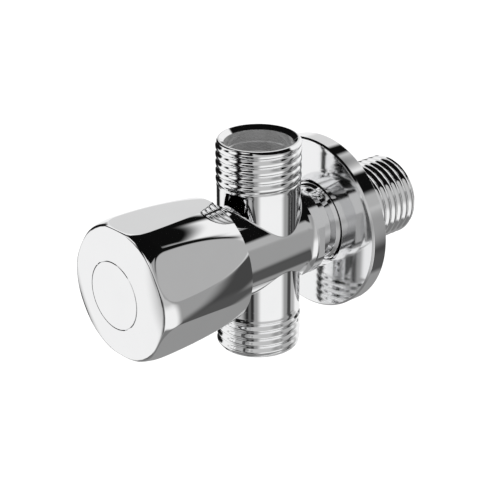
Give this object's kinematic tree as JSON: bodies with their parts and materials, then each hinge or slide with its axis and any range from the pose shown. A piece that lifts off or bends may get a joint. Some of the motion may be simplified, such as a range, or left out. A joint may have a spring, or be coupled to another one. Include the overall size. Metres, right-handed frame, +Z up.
{
  "type": "two-way shower valve",
  "caption": "Wall-mounted diverter valve with a faceted knob, male outlets up and down, a sliding wall flange and a male inlet.",
  "frame": {"origin": "on the inlet's axis in the plane of the finished wall, where the flange's back lies", "axes": "+Y into the wall along the inlet, -Y out through the knob, +Z up through the upper outlet"},
  "size_m": [0.0448, 0.0919, 0.0546],
  "materials": {
    "chrome": "polished",
    "brass": "turned",
    "rubber": "matte",
    "ceramic": "lapped",
    "plastic": "moulded",
    "steel": "brushed"
  },
  "bodies": {
    "valve": {"valve_body": "chrome", "port_carrier": "plastic", "carrier_gasket": "rubber", "upper_port_seal": "rubber", "lower_port_seal": "rubber", "disc_seal": "rubber", "fixed_disc": "ceramic", "cartridge_housing": "brass", "housing_seal": "rubber", "inlet_strainer": "steel", "strainer_ring": "rubber"},
    "knob": {"knob_shell": "chrome", "spline_insert": "brass", "index_cap": "chrome", "cap_ring": "rubber", "knob_screw": "steel", "screw_washer": "steel", "spindle": "brass", "spindle_seal_rear": "rubber", "spindle_seal_front": "rubber", "slip_washer": "plastic", "spindle_clip": "steel", "stop_ring": "brass", "disc_driver": "plastic", "moving_disc": "ceramic"},
    "flange": {"wall_flange": "chrome", "flange_grip_ring": "rubber", "flange_wall_seal": "rubber"}
  },
  "joints": [
    {"name": "knob_turn", "type": "hinge", "parent": "valve", "child": "knob", "pos_m": [0, -0.05, 0], "axis": [0, 1, 0], "range_deg": [-90, 90]},
    {"name": "flange_slide", "type": "slide", "parent": "valve", "child": "flange", "axis": [0, 1, 0], "range_m": [-0.005, 0.012]}
  ]
}
